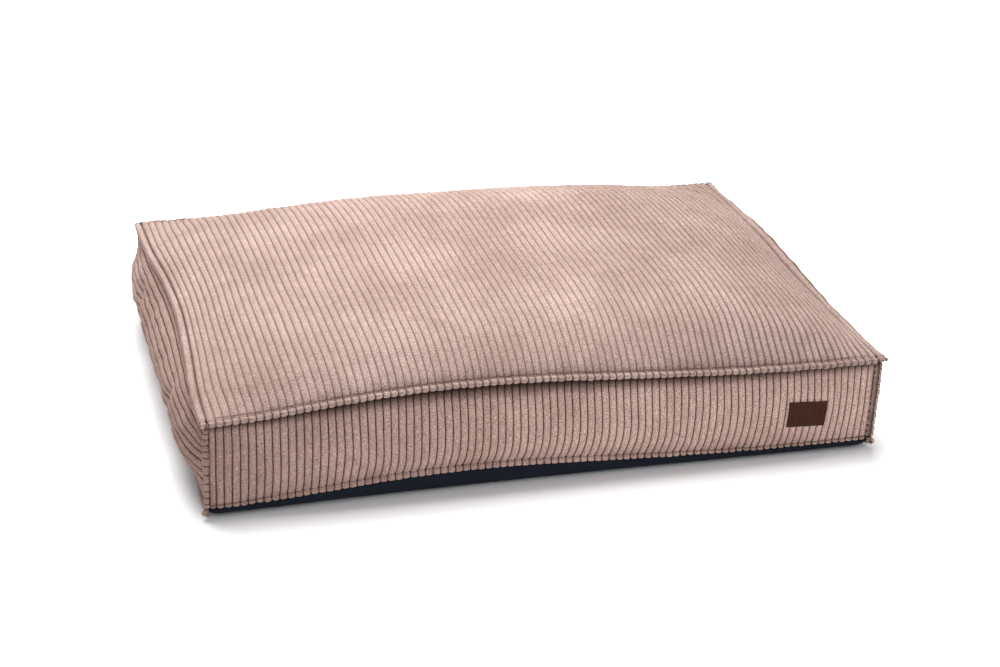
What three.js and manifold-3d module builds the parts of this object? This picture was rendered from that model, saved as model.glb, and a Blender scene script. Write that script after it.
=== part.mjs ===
// Pet cushion bed: a flanged corduroy box cushion with a dark base cloth, a loose inner pad and a
// zip across the back wall. Millimetres: +X along the length, +Y to the back, +Z up. The origin is
// on the floor under the middle of the cushion.
import * as THREE from 'three';
import { mergeVertices } from 'three/addons/utils/BufferGeometryUtils.js';
import Module from 'manifold-3d';

const wasm = await Module();
wasm.setup();

// Overall sizes
const length = 1000; // over the flanges, left to right
const depth = 700; // over the flanges, front to back
const cornerHeight = 140; // from the base flange's edge to the top flange at a corner
const footClearance = 10; // from the floor to the base flange's edge at a corner
const crownRise = 74; // how far the middle of the top stands above the top flange

// Cloth and sewn edges
const cloth = 2.4; // corduroy or base cloth with its backing
const layerGap = 0.3; // between two pieces that touch
const flange = 10; // width of the sewn flange along every edge
const baseFlangeDroop = THREE.MathUtils.degToRad(60); // the base flange hangs down from level
const seamPull = 8; // how far a seam draws in half way between two corners
const longEdgeLift = 20; // how far the front and back seams rise half way along
const shortEdgeLift = 12; // the same on the left and right
const wallBulge = 16; // how far a side wall swells past its seams
const footRun = 110; // width of the border in which the base curves up from the floor
const threadRadius = 0.4;
const stitchInset = 3; // from a seam out to the row of stitches on its flange

// Zip in the middle of the back wall
const zipLength = 700;
const zipSlot = 10; // between the folded cloth edges
const zipEndSeam = 6; // length in which the slot closes past each end of the zip
const tapeWidth = 14;
const tapeThickness = 0.8;
const coilRadius = 1.2;
const neckWidth = 1.2; // the slider's neck, which runs between the two coils
const topStopLength = 3;
const endStopLength = 5;
const sliderLength = 10;
const sliderWidth = 8.8;
const sliderPlate = 1.2;
const sliderPlay = 1; // between the slider's inner plate and the tapes
const bridgeLength = 8; // the loop on the slider that holds the pull tab
const bridgeRise = 2.6;
const bridgeBar = 1.1;
const bridgeWidth = 2;
const pullLength = 26;
const pullWidth = 7;
const pullThickness = 1.2;
const pullBar = 1.4; // the bar of the pull tab that turns inside the loop
const pullHole = 6;

// Label on the front wall
const labelWidth = 62;
const labelHeight = 40;
const labelThickness = 1.2;
const labelX = 382;
const labelBelowMiddle = 17; // the label's middle, below the middle of the wall
const labelStitchInset = 3;

// Inner pad
const padClearance = 5; // between the cover and the pad's lining
const lining = 1.2;
const fillingClearance = 0.8; // between the lining and the filling
const padBaseEase = 4; // extra room under the pad, where the base curves up
const padSides = 32;
const padSquareness = 8; // exponent of the pad's rounded-rectangle plan
const padRings = [0, 0.5, 0.8, 0.94]; // radii of the rings on the pad's faces, as shares of its own
const padTurn = 0.2; // share of the pad's height at which its side straightens
const roundOff = 1e-4; // below this a computed value is meant to be 0

// Heights and half sizes that follow from them
const halfX = length / 2 - flange;
const halfY = depth / 2 - flange;
const skinInner = layerGap / 2;
const skinOuter = skinInner + cloth;
const flatZ = skinOuter;
const baseSeamZ = footClearance + flange * Math.sin(baseFlangeDroop);
const topSeamZ = footClearance + cornerHeight;
const middleZ = (baseSeamZ + topSeamZ + longEdgeLift) / 2;
const straightZip = zipLength / 2 + zipEndSeam + seamPull;

const clampUnit = (value) => THREE.MathUtils.clamp(value, -1, 1);
const arch = (t) => Math.cos((Math.PI / 2) * clampUnit(t)) ** 2;
const swell = (t) => Math.sqrt(Math.max(0, 1 - clampUnit(t) ** 4));

// Height of the seams above their height at the corners, faded towards the middle of the panel.
function seamLift(x, y) {
  const tx = clampUnit(x / halfX);
  const ty = clampUnit(y / halfY);
  return longEdgeLift * arch(tx) * ty ** 4 + shortEdgeLift * arch(ty) * tx ** 4;
}

// Plan position of a point of the top once the seams have drawn in.
function drawnIn(x, y) {
  const tx = clampUnit(x / halfX);
  const ty = clampUnit(y / halfY);
  return [x - seamPull * arch(ty) * tx ** 3, y - seamPull * arch(tx) * ty ** 3];
}

// Share of the way from the edge of the flat foot, at 0, to a seam, at 1.
function pastFoot(value, half) {
  return THREE.MathUtils.clamp((Math.abs(value) - half + footRun) / footRun, 0, 1);
}

function topHeight(x, y) {
  return topSeamZ + seamLift(x, y) + crownRise * swell(x / halfX) * swell(y / halfY);
}

function baseHeight(x, y) {
  const edgeX = pastFoot(x, halfX);
  const edgeY = pastFoot(y, halfY);
  const rise = 1 - (1 - edgeX ** 2) * (1 - edgeY ** 2);
  return flatZ + (baseSeamZ + seamLift(x, y) - flatZ) * rise;
}

function topPoint(x, y) {
  return new THREE.Vector3(...drawnIn(x, y), topHeight(x, y));
}

// The base cloth draws in only past its foot; past its seam it turns down into the hanging flange.
function basePoint(x, y) {
  const outX = Math.max(0, Math.abs(x) - halfX) * Math.cos(baseFlangeDroop);
  const outY = Math.max(0, Math.abs(y) - halfY) * Math.cos(baseFlangeDroop);
  const nearX = clampUnit(x / halfX) * halfX;
  const nearY = clampUnit(y / halfY) * halfY;
  const pullX = seamPull * arch(y / halfY) * pastFoot(x, halfX) ** 2;
  const pullY = seamPull * arch(x / halfX) * pastFoot(y, halfY) ** 2;
  const onFlange = Math.max(outX, outY) * Math.tan(baseFlangeDroop);
  return new THREE.Vector3(
    nearX + Math.sign(x) * (outX - pullX),
    nearY + Math.sign(y) * (outY - pullY),
    baseHeight(nearX, nearY) - onFlange
  );
}

// Side walls. A wall runs along `s` and faces out; `place` turns its own axes into X and Y.
const plumpEnds = (half) => (s) => 1 - clampUnit(s / half) ** 6;
function straightMiddle(s) {
  const past = THREE.MathUtils.clamp((Math.abs(s) - straightZip) / (halfX - straightZip), 0, 1);
  return arch(past);
}
const longWall = { half: halfX, out: halfY, lift: longEdgeLift };
const shortWall = { half: halfY, out: halfX, lift: shortEdgeLift, plump: plumpEnds(halfY) };
const walls = {
  front: { ...longWall, plump: plumpEnds(halfX), place: (s, out) => [s, -out] },
  back: { ...longWall, plump: straightMiddle, place: (s, out) => [-s, out] },
  left: { ...shortWall, place: (s, out) => [-out, -s] },
  right: { ...shortWall, place: (s, out) => [out, s] },
};

// A point on a wall, `up` from -1 at the base seam through 0 at the middle to 1 at the top seam.
function wallPoint(wall, s, up) {
  const rise = wall.lift * arch(s / wall.half);
  const seamZ = up < 0 ? baseSeamZ + rise : topSeamZ + rise;
  const seamOut = wall.out - seamPull * arch(s / wall.half);
  const middleOut = wall.out + wallBulge * wall.plump(s);
  const out = seamOut + (middleOut - seamOut) * Math.cos((Math.PI / 2) * up);
  const z = middleZ + (seamZ - middleZ) * Math.abs(up);
  return new THREE.Vector3(...wall.place(s, out), z);
}

// The same wall at a height of `dz` above its middle line.
function wallPointAt(wall, s, dz) {
  const rise = wall.lift * arch(s / wall.half);
  const reach = dz < 0 ? middleZ - baseSeamZ - rise : topSeamZ + rise - middleZ;
  return wallPoint(wall, s, dz / reach);
}

function wallNormal(wall, s, dz) {
  const here = wallPointAt(wall, s, dz);
  const along = wallPointAt(wall, s + 1, dz).sub(here);
  const above = wallPointAt(wall, s, dz + 1).sub(here);
  return along.cross(above).normalize();
}

// Rows beyond the seams are the flanges: level at the top, hanging at the base, and square out of
// the corner at both ends of the wall.
const flangeRow = 2;
const mitre = 3; // the walls stop this far short of each other where three flanges meet
function coverWallPoint(wall, s, up) {
  const past = Math.abs(s) > wall.half;
  const seamS = clampUnit(s / wall.half) * wall.half;
  const inner = wallPoint(wall, seamS, clampUnit(up));
  if (Math.abs(up) < flangeRow && !past) {
    return inner;
  }
  const [outX, outY] = wall.place(0, 1);
  const [alongX, alongY] = wall.place(Math.sign(s), 0);
  const point = inner.clone();
  if (Math.abs(up) < flangeRow) {
    const end = (topSeamZ - baseSeamZ) / 2 - mitre;
    const centre = (topSeamZ + baseSeamZ) / 2;
    point.x += flange * (outX + alongX);
    point.y += flange * (outY + alongY);
    point.z = THREE.MathUtils.clamp(point.z, centre - end, centre + end);
    return point;
  }
  const droop = up < 0 ? baseFlangeDroop : 0;
  const width = flange * Math.cos(droop);
  const along = past ? width - mitre : 0;
  point.x += width * outX + along * alongX;
  point.y += width * outY + along * alongY;
  point.z -= flange * Math.sin(droop);
  return point;
}

// Lines along which the cover is divided: close together near a seam, with the zip's ends on them.
const seamRoll = 14; // the last strip of cloth before a seam, where it curves most
const nearSeam = [footRun, footRun / 2, seamRoll, 0, -flange];
function stations(half, extra) {
  const positive = [...nearSeam.map((inset) => half - inset), (half - footRun) / 2, ...extra];
  const sorted = [...new Set(positive)].sort((a, b) => a - b);
  return [...sorted.slice().reverse().map((value) => -value), 0, ...sorted];
}
const stationsX = stations(halfX, [zipLength / 2, zipLength / 2 + zipEndSeam]);
const stationsY = stations(halfY, []);
const wallFlank = 0.35; // rows of a wall, as shares of the way from its middle to a seam
const wallShoulder = 0.8;
const upperRows = [wallFlank, wallShoulder, 1, flangeRow];
const wallRows = [...upperRows.map((row) => -row).reverse(), 0, ...upperRows];

const cross = new THREE.Vector3();
// Normal at each grid point, from the cells around it.
function gridNormals(grid) {
  const last = [grid.length - 1, grid[0].length - 1];
  return grid.map((column, i) =>
    column.map((point, j) => {
      const normal = new THREE.Vector3();
      for (const [di, dj] of [[1, 1], [-1, 1], [-1, -1], [1, -1]]) {
        if (i + di >= 0 && i + di <= last[0] && j + dj >= 0 && j + dj <= last[1]) {
          const a = grid[i + di][j].clone().sub(point).multiplyScalar(di);
          const b = grid[i][j + dj].clone().sub(point).multiplyScalar(dj);
          normal.add(cross.crossVectors(a, b).normalize());
        }
      }
      return normal.normalize();
    })
  );
}

// A piece of cloth: a box divided along both its ways and bent so that its two faces lie `inner`
// and `outer` off the surface that pointAt gives. Where `rests` holds, it lies level on the floor.
const downwards = new THREE.Vector3(0, 0, -1);
function clothGeometry(columns, rows, pointAt, inner, outer, rests = () => false) {
  const cells = [columns.length - 1, rows.length - 1];
  const grid = columns.map((c) => rows.map((r) => pointAt(c, r)));
  const normals = gridNormals(grid);
  const box = new THREE.BoxGeometry(cells[0], cells[1], 1, cells[0], cells[1], 1);
  const position = box.attributes.position;
  for (let k = 0; k < position.count; k += 1) {
    const i = Math.round(position.getX(k) + cells[0] / 2);
    const j = Math.round(position.getY(k) + cells[1] / 2);
    const off = position.getZ(k) > 0 ? outer : inner;
    const normal = rests(columns[i], rows[j]) ? downwards : normals[i][j];
    const point = grid[i][j].clone().addScaledVector(normal, off);
    position.setXYZ(k, point.x, point.y, point.z);
  }
  return box;
}

// A straight or gently bent row of thread through `points`, resting on a face that is `face` off
// them along `normals`.
function threadGeometry(points, normals, sides, face = skinOuter) {
  const cells = points.length - 1;
  const box = new THREE.BoxGeometry(cells, 1, 1, cells, 1, 1);
  const position = box.attributes.position;
  const clear = face + layerGap + threadRadius;
  for (let k = 0; k < position.count; k += 1) {
    const i = Math.round(position.getX(k) + cells / 2);
    const point = points[i].clone();
    point.addScaledVector(normals[i], clear + 2 * threadRadius * position.getZ(k));
    point.addScaledVector(sides[i], 2 * threadRadius * position.getY(k));
    position.setXYZ(k, point.x, point.y, point.z);
  }
  return box;
}

// A closed row of thread on the top flange.
function threadRingGeometry(points, outward) {
  const count = points.length;
  const ring = new THREE.TorusGeometry(2, 1, 4, count);
  const position = ring.attributes.position;
  const clear = skinOuter + layerGap + threadRadius;
  for (let k = 0; k < position.count; k += 1) {
    const side = Math.floor(k / (count + 1));
    const i = (k % (count + 1)) % count;
    const angle = (Math.PI / 2) * side;
    const point = points[i].clone();
    point.addScaledVector(outward[i], threadRadius * Math.cos(angle));
    point.z += clear + threadRadius * Math.sin(angle);
    position.setXYZ(k, point.x, point.y, point.z);
  }
  return ring;
}

// Heights of the pad's faces at one of its rings, inside the cover all the way round. A ring's
// corners lie nearer the middle of the pad than its sides do.
const ringCorner = 2 ** (-1 / padSquareness);
function ringHigh(radius) {
  const crown = Math.min(swell(radius), swell(radius * ringCorner) ** 2);
  return topSeamZ + crownRise * crown;
}
function ringLow(radius) {
  const edge = Math.max(0, (radius * halfY - halfY + footRun) / footRun);
  return flatZ + padBaseEase + (baseSeamZ + longEdgeLift - flatZ) * edge ** 2;
}

// The inner pad: a turned profile whose rings are pressed out to a rounded rectangle. Each profile
// point is [radius, share of the way up, inset from the cover].
function padGeometry(profile) {
  const turned = new THREE.LatheGeometry(
    profile.map(([radius], k) => new THREE.Vector2(radius, k)),
    padSides
  );
  turned.rotateX(Math.PI / 2);
  const position = turned.attributes.position;
  const squared = (value) =>
    Math.abs(value) < roundOff ? 0 : Math.sign(value) * Math.abs(value) ** (2 / padSquareness);
  for (let k = 0; k < position.count; k += 1) {
    const [radius, up, inset] = profile[Math.round(position.getZ(k))];
    const angle = Math.atan2(position.getY(k), position.getX(k));
    const x = radius * (halfX - seamPull - inset) * squared(Math.cos(angle));
    const y = radius * (halfY - seamPull - inset) * squared(Math.sin(angle));
    const low = ringLow(radius) + inset;
    const high = ringHigh(radius) - inset;
    position.setXYZ(k, x, y, low + (high - low) * up);
  }
  return turned;
}

const corduroy = { color: 0xb6968a, roughness: 0.95, metalness: 0 };
const baseCloth = { color: 0x10151f, roughness: 0.9, metalness: 0 };
const leather = { color: 0x42241a, roughness: 0.55, metalness: 0 };
const thread = { color: 0x8f6d62, roughness: 0.8, metalness: 0 };
const liningCloth = { color: 0xd9d4cc, roughness: 0.9, metalness: 0 };
const fibre = { color: 0xf0eee9, roughness: 1, metalness: 0 };
const tape = { color: 0xa98579, roughness: 0.8, metalness: 0 };
const coil = { color: 0xa07c70, roughness: 0.5, metalness: 0 };
const metal = { color: 0x6b6560, roughness: 0.35, metalness: 1 };

const group = new THREE.Group();
function addMesh(name, geometry, finish, parent = group) {
  const mesh = new THREE.Mesh(geometry, new THREE.MeshStandardMaterial(finish));
  mesh.name = name;
  parent.add(mesh);
  return mesh;
}

// Cover panels
function addCover() {
  const reversed = (list) => list.slice().reverse();
  const onFoot = (x, y) => pastFoot(x, halfX) === 0 && pastFoot(y, halfY) === 0;
  addMesh(
    'top_panel',
    clothGeometry(stationsX, stationsY, topPoint, skinInner, skinOuter),
    corduroy
  );
  addMesh(
    'base_panel',
    clothGeometry(stationsX, reversed(stationsY), basePoint, skinInner, skinOuter, onFoot),
    baseCloth
  );
  for (const side of ['front', 'left', 'right']) {
    const wall = walls[side];
    const along = wall.half === halfX ? stationsX : stationsY;
    const pointAt = (s, up) => coverWallPoint(wall, s, up);
    addMesh(
      `${side}_panel`,
      clothGeometry(along, wallRows, pointAt, skinInner, skinOuter),
      corduroy
    );
  }
  for (const [name, sign] of [['upper', 1], ['lower', -1]]) {
    const rows = sign > 0 ? wallRows.filter((up) => up >= 0) : wallRows.filter((up) => up <= 0);
    const slotEdge = (s) => (Math.abs(s) > zipLength / 2 ? layerGap / 2 : zipSlot / 2);
    const pointAt = (s, up) => {
      const atEdge = wallPointAt(walls.back, clampUnit(s / halfX) * halfX, sign * slotEdge(s));
      if (up !== 0) {
        return coverWallPoint(walls.back, s, up);
      }
      const edge = coverWallPoint(walls.back, s, up);
      return new THREE.Vector3(edge.x, edge.y, atEdge.z);
    };
    addMesh(
      `back_panel_${name}`,
      clothGeometry(stationsX, rows, pointAt, skinInner, skinOuter),
      corduroy
    );
  }
}

// Rows of stitches along the flanges
function addFlangeThreads() {
  const inner = (list) => list.slice(1, -1);
  const ringPoints = [];
  const ringOut = [];
  const sides = [
    [stationsX, (s) => [s, -halfY - stitchInset], [0, -1]],
    [stationsY, (s) => [halfX + stitchInset, s], [1, 0]],
    [stationsX, (s) => [-s, halfY + stitchInset], [0, 1]],
    [stationsY, (s) => [-halfX - stitchInset, -s], [-1, 0]],
  ];
  for (const [along, plan, out] of sides) {
    for (const s of inner(along).slice(1)) {
      const isCorner = s === Math.max(...inner(along));
      const [x, y] = plan(isCorner ? s + stitchInset : s);
      const outward = new THREE.Vector3(...out, 0);
      if (isCorner) {
        outward.add(new THREE.Vector3(-out[1], out[0], 0));
      }
      ringPoints.push(topPoint(x, y));
      ringOut.push(outward);
    }
  }
  addMesh('top_edge_thread', threadRingGeometry(ringPoints, ringOut), thread);

  const droopOut = Math.cos(baseFlangeDroop);
  const droopDown = Math.sin(baseFlangeDroop);
  for (const [name, wall] of Object.entries(walls)) {
    const along = inner(inner(wall.half === halfX ? stationsX : stationsY));
    const [outX, outY] = wall.place(0, 1);
    const down = new THREE.Vector3(outX * droopOut, outY * droopOut, -droopDown);
    const normal = new THREE.Vector3(outX * droopDown, outY * droopDown, droopOut);
    const points = along.map((s) => wallPoint(wall, s, -1).addScaledVector(down, stitchInset * 2));
    addMesh(
      `base_thread_${name}`,
      threadGeometry(points, points.map(() => normal), points.map(() => down.clone().negate())),
      thread
    );
  }

  // One row on each corner flange, on the side of it that faces the front or the back.
  const slant = Math.SQRT1_2;
  for (const [name, wall, end] of [
    ['front_left', walls.front, -1],
    ['front_right', walls.front, 1],
    ['back_right', walls.back, -1],
    ['back_left', walls.back, 1],
  ]) {
    const [outX, outY] = wall.place(0, 1);
    const [alongX, alongY] = wall.place(end, 0);
    const outward = new THREE.Vector3(outX + alongX, outY + alongY, 0).multiplyScalar(slant);
    const normal = new THREE.Vector3(outX - alongX, outY - alongY, 0).multiplyScalar(slant);
    const points = wallRows
      .filter((up) => Math.abs(up) < 1)
      .map((up) => wallPoint(wall, end * wall.half, up).addScaledVector(outward, stitchInset * 2));
    addMesh(
      `corner_thread_${name}`,
      threadGeometry(
        points,
        points.map(() => normal),
        points.map(() => outward.clone().multiplyScalar(-end))
      ),
      thread
    );
  }
}

// A point on the front wall's facets, `dz` above its middle line.
function frontFacetPoint(s, dz) {
  const next = stationsX.findIndex((column) => column > s);
  const [left, right] = [stationsX[next - 1], stationsX[next]];
  const share = (s - left) / (right - left);
  const rungs = wallRows
    .filter((up) => Math.abs(up) <= 1)
    .map((up) => wallPoint(walls.front, left, up).lerp(wallPoint(walls.front, right, up), share));
  const above = rungs.findIndex((rung) => rung.z > middleZ + dz);
  const [low, high] = [rungs[above - 1], rungs[above]];
  return low.lerp(high, (middleZ + dz - low.z) / (high.z - low.z));
}

// Label and its stitching, divided where the wall under them is
function addLabel() {
  const between = (lines, low, high) => [low, ...lines.filter((v) => v > low && v < high), high];
  const reach = labelWidth / 2;
  const columns = between(stationsX, labelX - reach, labelX + reach);
  const wallLines = wallRows
    .filter((up) => Math.abs(up) < 1)
    .map((up) => wallPoint(walls.front, labelX, up).z - middleZ);
  const bottom = -labelBelowMiddle - labelHeight / 2;
  const rows = between(wallLines, bottom, bottom + labelHeight);
  const low = skinOuter + layerGap;
  addMesh(
    'label_patch',
    clothGeometry(columns, rows, frontFacetPoint, low, low + labelThickness),
    leather
  );
  const stitched = reach - labelStitchInset;
  for (const [name, sign] of [['upper', 1], ['lower', -1]]) {
    const dz = -labelBelowMiddle + sign * (labelHeight / 2 - labelStitchInset);
    const row = between(stationsX, labelX - stitched, labelX + stitched);
    const points = row.map((s) => frontFacetPoint(s, dz));
    const normals = row.map((s) => wallNormal(walls.front, s, dz));
    const upward = row.map(() => new THREE.Vector3(0, 0, 1));
    addMesh(
      `label_thread_${name}`,
      threadGeometry(points, normals, upward, low + labelThickness),
      thread
    );
  }
}

// Inner pad: two sheets of lining round a block of fibre
function addPad() {
  const shoulder = [...padRings.map((radius) => [radius, 0]), [1, padTurn], [1, 0.5]];
  const over = padClearance;
  const under = padClearance + lining;
  const half = (flip) => {
    const rise = (up) => (flip ? 1 - up : up);
    const outer = shoulder.map(([radius, up]) => [radius, rise(up), over]);
    const innerFace = shoulder.map(([radius, up]) => [radius, rise(up), under]);
    return [outer, innerFace];
  };
  const seam = layerGap / cornerHeight;
  const [lowOuter, lowInner] = half(false);
  const [highOuter, highInner] = half(true);
  lowOuter.at(-1)[1] -= seam;
  lowInner.at(-1)[1] -= seam;
  highOuter.at(-1)[1] += seam;
  highInner.at(-1)[1] += seam;
  addMesh('inner_lining_base', padGeometry([...lowOuter, ...lowInner.reverse()]), liningCloth);
  addMesh('inner_lining_top', padGeometry([...highInner, ...highOuter.reverse()]), liningCloth);
  const fill = under + fillingClearance;
  const [low] = half(false);
  const [high] = half(true);
  const profile = [...low.slice(0, -1), ...high.slice(0, -1).reverse()];
  addMesh('fibre_filling', padGeometry(profile.map(([radius, up]) => [radius, up, fill])), fibre);
}

// Zip: two tapes with their coils, the stops, the slider and its pull tab
const zipFaceY = halfY + wallBulge;
const tapeFaceY = zipFaceY - 2 * layerGap;
const coilOffset = neckWidth / 2 + layerGap + coilRadius;
const coilY = tapeFaceY + layerGap + coilRadius;
const sliderX = zipLength / 2 - topStopLength - sliderLength / 2 - 2 * layerGap;
const outerPlateY = zipFaceY + skinOuter + layerGap;
const innerPlateY = tapeFaceY - tapeThickness - sliderPlay;
const pullAxisY = outerPlateY + sliderPlate + bridgeRise / 2;

function addZip() {
  const firstTurn = -zipLength / 2 + topStopLength + layerGap;
  const lastTurn = zipLength / 2 - endStopLength - layerGap;
  for (const [name, sign] of [['upper', 1], ['lower', -1]]) {
    const rows = [neckWidth / 2 + layerGap, tapeWidth].map((dz) => sign * dz).sort((a, b) => a - b);
    addMesh(
      `zip_tape_${name}`,
      clothGeometry(
        [-zipLength / 2, 0, zipLength / 2],
        rows,
        (s, dz) => wallPointAt(walls.back, s, dz),
        -2 * layerGap - tapeThickness,
        -2 * layerGap
      ),
      tape
    );
    const chain = addMesh(
      `zip_coil_${name}`,
      new THREE.CylinderGeometry(coilRadius, coilRadius, lastTurn - firstTurn, 8),
      coil
    );
    chain.rotation.z = Math.PI / 2;
    chain.position.set(-(firstTurn + lastTurn) / 2, coilY, middleZ + sign * coilOffset);
    const stop = addMesh(
      `zip_top_stop_${name}`,
      new THREE.BoxGeometry(topStopLength, 2 * coilRadius, 2 * coilRadius),
      metal
    );
    stop.position.set((zipLength - topStopLength) / 2, coilY, middleZ + sign * coilOffset);
  }
  const endStop = addMesh(
    'zip_end_stop',
    new THREE.BoxGeometry(endStopLength, 2 * coilRadius, 2 * (coilOffset + coilRadius)),
    metal
  );
  endStop.position.set(-(zipLength - endStopLength) / 2, coilY, middleZ);

  const stitchZ = zipSlot / 2 + stitchInset;
  for (const [name, sign] of [['upper', 1], ['lower', -1]]) {
    const row = [-zipLength / 2, 0, zipLength / 2];
    const points = row.map((s) => wallPointAt(walls.back, s, sign * stitchZ));
    const back = new THREE.Vector3(0, 1, 0);
    addMesh(
      `zip_thread_${name}`,
      threadGeometry(points, points.map(() => back), points.map(() => new THREE.Vector3(0, 0, 1))),
      thread
    );
  }
}

// The slider is two plates joined by a neck, drawn as a section across its travel.
function sliderBodyGeometry() {
  const half = sliderWidth / 2;
  const neck = neckWidth / 2;
  const inside = [
    [neck, innerPlateY],
    [neck, outerPlateY],
    [half, outerPlateY],
    [half, outerPlateY + sliderPlate],
  ];
  const mirrored = inside.map(([z, y]) => [-z, y]).reverse();
  const outline = [
    [-half, innerPlateY],
    [-half, innerPlateY - sliderPlate],
    [half, innerPlateY - sliderPlate],
    [half, innerPlateY],
    ...inside,
    ...mirrored,
  ];
  const section = new THREE.Shape(outline.map(([z, y]) => new THREE.Vector2(z, y)));
  const body = new THREE.ExtrudeGeometry(section, { depth: sliderLength, bevelEnabled: false });
  body.translate(0, 0, -sliderLength / 2);
  return body.rotateY(-Math.PI / 2);
}

// The loop stands on the outer plate like a staple, and the pull tab's bar turns inside it.
function sliderLoopGeometry() {
  const half = bridgeLength / 2;
  const foot = outerPlateY + sliderPlate / 2;
  const roof = outerPlateY + sliderPlate + bridgeRise;
  const staple = new THREE.Shape(
    [
      [-half, foot],
      [-half + bridgeBar, foot],
      [-half + bridgeBar, roof],
      [half - bridgeBar, roof],
      [half - bridgeBar, foot],
      [half, foot],
      [half, roof + bridgeBar],
      [-half, roof + bridgeBar],
    ].map(([x, y]) => new THREE.Vector2(x, y))
  );
  const loop = new THREE.ExtrudeGeometry(staple, { depth: bridgeWidth, bevelEnabled: false });
  return loop.translate(0, 0, -bridgeWidth / 2);
}

// A closed mesh with shared vertices, as a solid that can be joined.
function solidOf(geometry) {
  const bare = geometry.clone();
  bare.deleteAttribute('normal');
  bare.deleteAttribute('uv');
  const merged = mergeVertices(bare, roundOff);
  return new wasm.Manifold(
    new wasm.Mesh({
      numProp: 3,
      vertProperties: new Float32Array(merged.attributes.position.array),
      triVerts: new Uint32Array(merged.index.array),
    })
  );
}

function geometryOf(solid) {
  const mesh = solid.getMesh();
  const geometry = new THREE.BufferGeometry();
  geometry.setAttribute('position', new THREE.BufferAttribute(mesh.vertProperties, 3));
  geometry.setIndex(new THREE.BufferAttribute(mesh.triVerts, 1));
  geometry.computeVertexNormals();
  return geometry;
}

// The pull tab lies flat along the zip, with its bar on the turning axis.
function pullGeometry() {
  const rounding = pullWidth / 3;
  const half = pullWidth / 2;
  const end = pullBar / 2;
  const tip = end - pullLength;
  const outline = new THREE.Shape();
  outline.moveTo(end, -half);
  outline.lineTo(end, half);
  outline.lineTo(tip + rounding, half);
  outline.quadraticCurveTo(tip, half, tip, half - rounding);
  outline.lineTo(tip, rounding - half);
  outline.quadraticCurveTo(tip, -half, tip + rounding, -half);
  outline.closePath();
  const holeHalf = bridgeWidth / 2 + 2 * layerGap;
  const hole = new THREE.Path();
  hole.moveTo(-end, -holeHalf);
  hole.lineTo(-end - pullHole, -holeHalf);
  hole.lineTo(-end - pullHole, holeHalf);
  hole.lineTo(-end, holeHalf);
  hole.closePath();
  outline.holes.push(hole);
  const tab = new THREE.ExtrudeGeometry(outline, {
    depth: pullThickness,
    bevelEnabled: false,
    curveSegments: 4,
  });
  tab.translate(0, 0, -pullThickness / 2);
  return tab.rotateX(-Math.PI / 2);
}

function addSlider() {
  const joined = solidOf(sliderBodyGeometry()).add(solidOf(sliderLoopGeometry()));
  const slider = addMesh('zip_slider', geometryOf(joined), metal);
  slider.position.set(sliderX, 0, middleZ);
  const pull = addMesh('zip_pull_tab', pullGeometry(), metal);
  pull.position.set(sliderX, pullAxisY, middleZ);
}

addCover();
addFlangeThreads();
addLabel();
addPad();
addZip();
addSlider();

export default group;
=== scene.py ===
import math

import bmesh
import bpy
import numpy as np
from mathutils import Matrix, Vector


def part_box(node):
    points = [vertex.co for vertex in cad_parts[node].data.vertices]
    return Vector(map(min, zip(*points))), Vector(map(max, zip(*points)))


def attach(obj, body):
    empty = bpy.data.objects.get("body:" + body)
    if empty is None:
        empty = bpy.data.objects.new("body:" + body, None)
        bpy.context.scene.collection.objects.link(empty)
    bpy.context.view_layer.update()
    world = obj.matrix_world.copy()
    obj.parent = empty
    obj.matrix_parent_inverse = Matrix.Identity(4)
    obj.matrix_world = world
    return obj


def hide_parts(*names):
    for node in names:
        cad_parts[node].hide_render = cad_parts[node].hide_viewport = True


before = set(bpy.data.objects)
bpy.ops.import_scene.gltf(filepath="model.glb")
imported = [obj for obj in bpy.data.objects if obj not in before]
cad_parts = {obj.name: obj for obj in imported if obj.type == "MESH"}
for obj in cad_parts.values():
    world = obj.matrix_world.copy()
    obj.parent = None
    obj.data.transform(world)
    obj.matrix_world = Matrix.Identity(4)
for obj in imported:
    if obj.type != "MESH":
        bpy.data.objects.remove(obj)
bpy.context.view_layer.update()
scene = bpy.context.scene


# ---- Studio -----------------------------------------------------------------------------------
# A pale paper floor, one broad soft light overhead with a weak one from the front right, and a
# camera at standing height a little left of the cushion's middle.

eye = Vector((-0.8363, -2.7445, 1.4630))
view_turn = math.radians(17.32)
view_tilt = math.radians(-25.87)
view_roll = math.radians(2.75)
lens = 73.75
film_width = 36.0
floor_reach = 12
paper_white = (0.97, 0.972, 0.98)
room_light = (0.97, 0.98, 1.0)
room_strength = 0.56


def put_in_scene(name, data):
    thing = bpy.data.objects.new(name, data)
    scene.collection.objects.link(thing)
    return thing


def finished_mesh(name, bm):
    mesh = bpy.data.meshes.new(name)
    bm.to_mesh(mesh)
    bm.free()
    return mesh


def plain_material(name, colour, roughness):
    material = bpy.data.materials.new(name)
    material.use_nodes = True
    surface = material.node_tree.nodes["Principled BSDF"]
    surface.inputs["Base Color"].default_value = (*colour, 1)
    surface.inputs["Roughness"].default_value = roughness
    return material, material.node_tree, surface


def place_camera():
    camera = put_in_scene("camera", bpy.data.cameras.new("camera"))
    camera.data.sensor_width = film_width
    camera.data.lens = lens
    turn = Matrix.Rotation(-view_turn, 4, "Z")
    tilt = Matrix.Rotation(math.pi / 2 + view_tilt, 4, "X")
    roll = Matrix.Rotation(view_roll, 4, "Z")
    camera.matrix_world = Matrix.Translation(eye) @ turn @ tilt @ roll
    scene.camera = camera


def soft_light(name, place, target, size, watts):
    lamp = bpy.data.lights.new(name, "AREA")
    lamp.shape = "DISK"
    lamp.size = size
    lamp.energy = watts
    light = put_in_scene(name, lamp)
    light.location = place
    light.rotation_euler = (Vector(target) - Vector(place)).to_track_quat("-Z", "Y").to_euler()


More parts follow.
